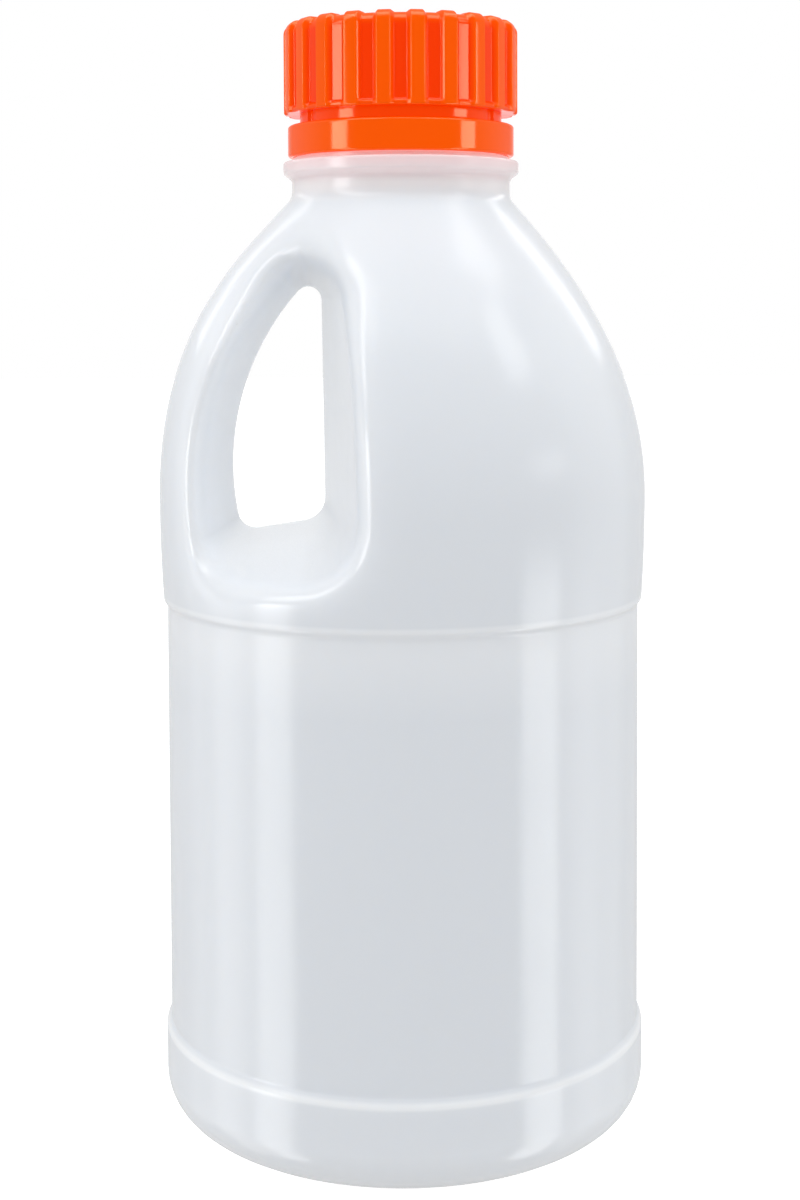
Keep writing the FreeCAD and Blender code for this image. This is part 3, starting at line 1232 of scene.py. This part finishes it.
# Painted highlight along the waist's edge, fading down over the crease and the top of the label panel, where
# it lifts the shade.
WAIST_PAINTED_HIGHLIGHT = Layer((0.86, 0.885, 0.92), (("Height", 108.0, 127.0), ("Height", 129.4, 128.7)))
# Painted highlight: a pale band along the base step's upper edge.
BASE_STEP_PAINTED_HIGHLIGHT = Layer((0.875, 0.9, 0.935), (("Height", 21.2, 21.9), ("Height", 23.4, 22.7)))
# Painted shade: the cap's grooves are a deeper orange-red than its ribs.
GROOVES_PAINTED_SHADE = Layer((0.98, 0.045, 0.0),
                (("Radius", 28.6, 27.5), ("Height", 246.3, 246.6), ("Height", 267.5, 265.0)))

# Painted light: the white plastic has a warm glow painted into its hollows.
JUG_WHITE = Finish((0.79, 0.82, 0.86), 0.21, (14.0, 0.10), glow=0.7, glow_depth=(9.0, 8.5, 8.0),
                   layers=(NECK_PAINTED_LIGHT, BEAD_PAINTED_BOUNCE, WAIST_PAINTED_HIGHLIGHT, BASE_STEP_PAINTED_HIGHLIGHT), painted_hollow_glow=0.155,
                   painted_hollow_glow_colour=(0.84, 0.81, 0.76), seam=0.5)
# Painted light: the orange plastic glows a little in its own colour.
RING_ORANGE = Finish((1.0, 0.098, 0.0), 0.11, (9.0, 0.02), tint=(1.0, 0.76, 0.46), painted_own_glow=0.13,
                     edge_gloss=0.05)
CAP_ORANGE = replace(RING_ORANGE, layers=(GROOVES_PAINTED_SHADE,))


def moulded_skin_group() -> bpy.types.NodeTree:
    """Shader node group: uneven moulded skin.

    Returns:
        A group that gives a normal and a roughness from the wave size in millimetres,
        the bump strength, the parting line's height and the mean roughness.
    """
    inputs = dict.fromkeys(("Wave", "Strength", "Seam", "Roughness"), "Float")
    tree = new_group("moulded_skin", "ShaderNodeTree", inputs, {"Normal": "Vector", "Roughness": "Float"})
    given = add_node(tree, "NodeGroupInput")
    place = add_node(tree, "ShaderNodeTexCoord")["Object"]
    scale = reckon(tree, "DIVIDE", 1.0 / MM, given["Wave"])
    waves = add_node(tree, "ShaderNodeTexNoise", {"Vector": place, "Scale": scale, "Detail": 1.5})[0]
    off_seam = reckon(tree, "ABSOLUTE", add_node(tree, "ShaderNodeSeparateXYZ", {0: place})["Y"])
    line = ramp(tree, off_seam, (0.0, 0.35 * MM), (1.0, 0.0), "SMOOTHSTEP")
    height = reckon(tree, "MULTIPLY_ADD", line, given["Seam"], waves)
    bump = add_node(tree, "ShaderNodeBump",
                    {"Height": height, "Strength": given["Strength"], "Distance": 0.6 * MM})
    grain = add_node(tree, "ShaderNodeTexNoise", {"Vector": place, "Scale": 45.0})[0]
    spread = ramp(tree, grain, (0.0, 1.0), (-0.03, 0.03))
    roughness = reckon(tree, "ADD", spread, given["Roughness"])
    add_node(tree, "NodeGroupOutput", {"Normal": bump[0], "Roughness": roughness})
    return tree


def zone_group() -> bpy.types.NodeTree:
    """Shader node group: masks by height and by distance from the axis.

    Returns:
        A group that gives the masks Height and Radius, 0 at Start and 1 at End, both
        in millimetres.
    """
    tree = new_group("zone_mask", "ShaderNodeTree", {"Start": "Float", "End": "Float"},
                     {"Height": "Float", "Radius": "Float"})
    given = add_node(tree, "NodeGroupInput")
    place = add_node(tree, "ShaderNodeTexCoord")["Object"]
    in_mm = add_node(tree, "ShaderNodeVectorMath", {0: place, "Scale": 1.0 / MM}, operation="SCALE")
    split = add_node(tree, "ShaderNodeSeparateXYZ", {0: in_mm[0]})
    flat = add_node(tree, "ShaderNodeCombineXYZ", {"X": split["X"], "Y": split["Y"]})
    radius = add_node(tree, "ShaderNodeVectorMath", {0: flat[0]}, operation="LENGTH")["Value"]
    span = (given["Start"], given["End"])
    add_node(tree, "NodeGroupOutput", {"Height": ramp(tree, split["Z"], span, (0.0, 1.0)),
                                       "Radius": ramp(tree, radius, span, (0.0, 1.0))})
    return tree


@dataclass(frozen=True)
class Plastic:
    """Maker of plastic materials.

    Attributes:
        skin: The moulded_skin group.
        zone: The zone_mask group.
        gloss_span: Facing values between which the gloss goes over to that of an edge.
        shelter_reach: Distance in metres within which a wall shelters a hollow.
        shelter_rays: Rays that measure it.
        shelter_span: Openness at which a hollow's light starts, and at which it is full.
        upward_span: Normal's Z between which a hollow's floor gets lighter.
        upward_gain: How much lighter its walls and its floor are.
    """

    skin: bpy.types.NodeTree
    zone: bpy.types.NodeTree
    gloss_span: Pair = (0.3, 0.7)
    shelter_reach: float = 50.0 * MM
    shelter_rays: int = 6
    # shelter_span: Openness at which a hollow's painted glow starts, and at which it is full.
    shelter_span: Pair = (0.8, 0.0)
    # upward_span: Normal's Z between which a hollow's floor gets more painted glow.
    upward_span: Pair = (0.3, 0.9)
    # upward_gain: How much the painted glow is multiplied on its walls and on its floor.
    upward_gain: Pair = (1.0, 3.2)

    def colour(self, tree: bpy.types.NodeTree, finish: Finish) -> Source:
        """Base colour with the finish's layers of painted light and shade over it.

        Args:
            tree: The material's tree.
            finish: The look.

        Returns:
            The plain colour, or the socket that gives it.
        """
        under, over, result = 6, 7, 2    # the colour sockets of a Mix node
        colour = (*finish.colour, 1.0)
        for layer in finish.layers:
            share = 1.0
            for measure, start, end in layer.zones:
                mask = add_node(tree, "ShaderNodeGroup", {"Start": start, "End": end}, node_tree=self.zone)
                share = reckon(tree, "MULTIPLY", share, mask[measure])
            mix = add_node(tree, "ShaderNodeMix", {0: share, under: colour, over: (*layer.colour, 1.0)},
                           data_type="RGBA")
            colour = mix[result]
        return colour

    def gloss(self, tree: bpy.types.NodeTree, finish: Finish) -> Source:
        """Specular level, which may change towards the edges.

        Args:
            tree: The material's tree.
            finish: The look.

        Returns:
            The plain level, or the socket that gives it.
        """
        if finish.edge_gloss == finish.gloss:
            return finish.gloss
        facing = add_node(tree, "ShaderNodeLayerWeight")["Facing"]
        return ramp(tree, facing, self.gloss_span, (finish.gloss, finish.edge_gloss))

    def painted_hollow_glow(self, tree: bpy.types.NodeTree, finish: Finish) -> bpy.types.NodeSocket:
        """Strength of the glow painted into hollows, where shade falls, which grows on upward faces.

        Args:
            tree: The material's tree.
            finish: The look.

        Returns:
            The socket that gives it.
        """
        open_air = add_node(tree, "ShaderNodeAmbientOcclusion", {"Distance": self.shelter_reach},
                            samples=self.shelter_rays)["AO"]
        painted_glow_level = ramp(tree, open_air, self.shelter_span, (finish.painted_own_glow, finish.painted_hollow_glow))
        normal = add_node(tree, "ShaderNodeNewGeometry")["Normal"]
        upward = add_node(tree, "ShaderNodeSeparateXYZ", {0: normal})["Z"]
        return reckon(tree, "MULTIPLY", painted_glow_level, ramp(tree, upward, self.upward_span, self.upward_gain))

    def material(self, name: str, finish: Finish) -> bpy.types.Material:
        """Make a plastic material.

        Args:
            name: Name of the material.
            finish: Its look.

        Returns:
            The material.
        """
        material = bpy.data.materials.new(name)
        material.use_nodes = True
        tree = material.node_tree
        wave, strength = finish.waviness
        skin = add_node(tree, "ShaderNodeGroup", {"Wave": wave, "Strength": strength, "Seam": finish.seam,
                                                  "Roughness": finish.roughness}, node_tree=self.skin)
        colour = self.colour(tree, finish)
        # Painted light: hollows of the white plastic glow in a colour of their own; elsewhere the plastic
        # glows faintly in its own base colour.
        hollow = finish.painted_hollow_glow > 0.0
        feed(tree.nodes["Principled BSDF"], tree, {
            "Base Color": colour,
            "Roughness": skin["Roughness"],
            "Normal": skin["Normal"],
            "Specular IOR Level": self.gloss(tree, finish),
            "Specular Tint": (*finish.tint, 1.0),
            "Subsurface Weight": finish.glow,
            "Subsurface Radius": finish.glow_depth,
            "Subsurface Scale": MM,
            "Emission Color": (*finish.painted_hollow_glow_colour, 1.0) if hollow else colour,
            "Emission Strength": self.painted_hollow_glow(tree, finish) if hollow else finish.painted_own_glow})
        return material


# --------------------------------------------------------------------------
# Studio
# --------------------------------------------------------------------------

@dataclass(frozen=True)
class Softbox:
    """Rectangular light aimed at the object.

    Attributes:
        name: Name of the light.
        azimuth_deg: Direction from the front, towards +X.
        elevation_deg: Direction above the level of its target.
        distance: Distance in metres.
        size: Width and height in metres.
        radiance: Brightness of its face, where 1 is white.
        target_z: Height in metres that it points at.
        matt: Whether it lights matt surfaces too, or only shows as a reflection.
        nodes: CAD nodes that it shines on, or none for all.
    """

    name: str
    azimuth_deg: float
    elevation_deg: float
    distance: float
    size: Pair
    radiance: float
    target_z: float = 0.13
    matt: bool = True
    nodes: tuple[str, ...] = ()

    def build(self, parts: dict[str, list[bpy.types.Object]]) -> None:
        """Add the light.

        Args:
            parts: Pieces of each CAD node.
        """
        data = bpy.data.lights.new(self.name, "AREA")
        data.shape = "RECTANGLE"
        data.size, data.size_y = self.size
        area = self.size[0] * self.size[1]
        data.energy = self.radiance * 4.0 * area    # an area light spreads its power over four times its area
        light = bpy.data.objects.new(self.name, data)
        light.visible_diffuse = self.matt
        if self.nodes:
            chosen = bpy.data.collections.new(self.name + "_receivers")
            for piece in (piece for node in self.nodes for piece in parts[node]):
                chosen.objects.link(piece)
            light.light_linking.receiver_collection = chosen
        azimuth, rise = math.radians(self.azimuth_deg), math.radians(self.elevation_deg)
        level = math.cos(rise)
        out = Vector((math.sin(azimuth) * level, -math.cos(azimuth) * level, math.sin(rise)))
        light.location = Vector((0.0, 0.0, self.target_z)) + out * self.distance
        light.rotation_euler = out.to_track_quat("Z", "Y").to_euler()
        bpy.context.scene.collection.objects.link(light)


JUG, ORANGE = ("jug",), ("cap", "tamper_ring")
LIGHTS = (
    Softbox("strip_left", -62.0, 0.0, 1.0, (0.34, 1.46), 4.0, -0.47, False),
    Softbox("strip_right", 66.0, 0.0, 1.0, (0.34, 1.16), 4.4, -0.62, False),
    Softbox("wing_left", -86.0, 0.0, 1.0, (0.44, 1.46), 1.0, -0.47, False, JUG),
    Softbox("wing_right", 90.0, 0.0, 1.0, (0.44, 1.16), 0.5, -0.62, False, JUG),
    Softbox("cap_left", -64.0, 0.0, 2.0, (0.62, 0.30), 6.0, 0.445, False, ORANGE),
    Softbox("cap_right", 71.0, 0.0, 2.0, (0.60, 0.30), 5.0, 0.445, False, ORANGE),
    Softbox("neck_left", -64.0, 0.0, 2.0, (0.62, 0.24), 5.0, 0.42, False, JUG),
    Softbox("neck_right", 71.0, 0.0, 2.0, (0.60, 0.14), 2.2, 0.39, False, JUG),
    Softbox("high_left", -64.0, 0.0, 1.0, (0.34, 1.40), 3.0, 1.20, False),
    Softbox("high_right", 69.0, 0.0, 1.0, (0.30, 0.60), 2.2, 1.05, False),
    Softbox("top_right", 92.0, 57.0, 1.3, (0.40, 0.40), 1.6, 0.2, False),
    Softbox("rim_left", -134.0, 0.0, 1.0, (0.16, 0.60), 1.3, 0.74, False, JUG),
    Softbox("rim_right", 134.0, 0.0, 1.0, (0.16, 0.60), 2.5, 0.74, False, JUG),
    Softbox("side_left", -100.0, 5.0, 1.2, (0.9, 1.8), 0.32, 0.0, True, JUG),
    Softbox("side_right", 105.0, 5.0, 1.2, (0.9, 1.8), 0.25, 0.0, True, JUG),
    Softbox("fill_left", -42.0, 52.0, 1.2, (0.5, 0.5), 0.8, 0.15, True, JUG),
    Softbox("cap_top", 0.0, 72.0, 1.0, (1.4, 0.6), 2.5, 0.24, False, ORANGE),
    Softbox("overhead", 5.0, 74.0, 1.2, (1.4, 1.1), 0.66),
)


@dataclass
class Studio:
    """Floor, lights, world and camera.

    Attributes:
        eye: Camera's place in millimetres.
        pitch_deg: How far it looks down.
        roll_deg: Its lean.
        focal: Focal length as a share of the frame's height.
        shift: Lens shift as a share of the frame's height.
        front: Reflected brightness of the room on the camera's side, where the backdrop is 1.
        front_span: Y of a unit direction where that starts and stops to change to the back's.
        back: Reflected brightness of the room beside the backdrop.
        backdrop_span: Y of a unit direction at the backdrop's soft edge.
        ambient: Brightness of the room as it lights matt surfaces, in front and at the sides.
        floor_reach: Half the floor's width in millimetres.
        floor_grey: The floor's base colour.
        floor_light: What the camera sees the floor give off.
    """

    eye: Triple = (0.0, -466.2, 202.7)
    pitch_deg: float = 3.0
    roll_deg: float = -0.24
    focal: float = 1.564167
    shift: Pair = (-0.0015417, -0.17425)
    front: float = 0.05
    front_span: Pair = (-0.6, 0.4)
    back: float = 0.7
    backdrop_span: Pair = (0.90, 1.0)
    ambient: Pair = (0.81, 0.99)
    floor_reach: float = 4000.0
    floor_grey: float = 0.72
    floor_light: float = 0.82

    def camera(self) -> None:
        """Add the camera and make it the scene's."""
        data = bpy.data.cameras.new("camera")
        data.sensor_fit = "VERTICAL"
        data.sensor_height = 24.0
        data.lens = data.sensor_height * self.focal
        data.shift_x, data.shift_y = self.shift
        data.clip_start = 0.01
        camera = bpy.data.objects.new("camera", data)
        turn = Euler((math.radians(90.0 - self.pitch_deg), 0.0, 0.0)).to_matrix()
        roll = Euler((0.0, 0.0, math.radians(self.roll_deg))).to_matrix()
        camera.matrix_world = (turn @ roll).to_4x4()
        camera.location = Vector(self.eye) * MM
        bpy.context.scene.collection.objects.link(camera)
        bpy.context.scene.camera = camera

    @staticmethod
    def reflected(tree: bpy.types.NodeTree) -> bpy.types.NodeSocket:
        """Socket that is 1 for glossy and transmission rays and 0 for the rest."""
        rays = add_node(tree, "ShaderNodeLightPath")
        return reckon(tree, "MAXIMUM", rays["Is Glossy Ray"], rays["Is Transmission Ray"])

    def world(self) -> None:
        """White room: a backdrop behind the object, greyer beside it, dark by the camera."""
        world = bpy.data.worlds.new("studio")
        bpy.context.scene.world = world
        world.use_nodes = True
        tree = world.node_tree
        place = add_node(tree, "ShaderNodeTexCoord")["Generated"]
        way = add_node(tree, "ShaderNodeSeparateXYZ", {0: place})
        room = ramp(tree, way["Y"], self.front_span, (self.front, self.back), "SMOOTHSTEP")
        backdrop = ramp(tree, way["Y"], self.backdrop_span, (0.0, 1.0 - self.back), "SMOOTHSTEP")
        shown = reckon(tree, "ADD", room, backdrop)
        sideways = reckon(tree, "MULTIPLY", way["X"], way["X"])
        matt = ramp(tree, sideways, (0.0, 1.0), self.ambient)
        by_ray = add_node(tree, "ShaderNodeMix", {"Factor": self.reflected(tree), "A": matt, "B": shown})
        seen = add_node(tree, "ShaderNodeLightPath")["Is Camera Ray"]
        total = add_node(tree, "ShaderNodeMix", {"Factor": seen, "A": by_ray["Result"], "B": 1.0})
        feed(tree.nodes["Background"], tree, {"Color": (1.0, 1.0, 1.0, 1.0), "Strength": total["Result"]})

    def floor(self) -> None:
        """White floor that shows a faint shadow and lets reflections of the room through."""
        corners = np.array([[-1.0, -1.0, 0.0], [1.0, -1.0, 0.0], [1.0, 1.0, 0.0], [-1.0, 1.0, 0.0]])
        floor = new_piece("floor", self.floor_reach * corners, [[0, 1, 2, 3]])
        material = bpy.data.materials.new("floor")
        material.use_nodes = True
        tree = material.node_tree
        seen = add_node(tree, "ShaderNodeLightPath")["Is Camera Ray"]
        bsdf = tree.nodes["Principled BSDF"]
        feed(bsdf, tree, {
            "Base Color": (self.floor_grey, self.floor_grey, self.floor_grey, 1.0),
            "Roughness": 0.9,
            "Specular IOR Level": 0.0,
            "Emission Color": (1.0, 1.0, 1.0, 1.0),
            "Emission Strength": reckon(tree, "MULTIPLY", seen, self.floor_light)})
        clear = add_node(tree, "ShaderNodeBsdfTransparent")[0]
        mix = add_node(tree, "ShaderNodeMixShader", {0: self.reflected(tree), 1: bsdf.outputs[0], 2: clear})
        feed(tree.nodes["Material Output"], tree, {"Surface": mix[0]})
        floor.data.materials.append(material)

    def build(self, parts: dict[str, list[bpy.types.Object]]) -> None:
        """Add everything round the object.

        Args:
            parts: Pieces of each CAD node.
        """
        self.camera()
        self.world()
        self.floor()
        for light in LIGHTS:
            light.build(parts)
        bpy.context.scene.view_settings.view_transform = "Standard"


def ride(pieces: list[bpy.types.Object], node: str) -> None:
    """Let pieces stand for a CAD node.

    Args:
        pieces: The pieces.
        node: The node that they replace.
    """
    for piece in pieces:
        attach(piece, "root")
        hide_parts(node)
        log.info("%s: %s, %d faces", node, piece.name, len(piece.data.polygons))


def main() -> None:
    """Build every piece and the studio."""
    logging.basicConfig(level=logging.INFO, format="%(message)s")
    plastic = Plastic(moulded_skin_group(), zone_group())
    neck_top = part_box("jug")[1][2] / MM
    parts = {"jug": JugBody(height=neck_top).build(plastic.material("jug_white", JUG_WHITE)),
             "cap": ScrewCap().build(plastic.material("cap_orange", CAP_ORANGE)),
             "tamper_ring": TamperRing().build(plastic.material("ring_orange", RING_ORANGE))}
    for node, pieces in parts.items():
        ride(pieces, node)
    Studio().build(parts)


if __name__ == "__main__":
    main()
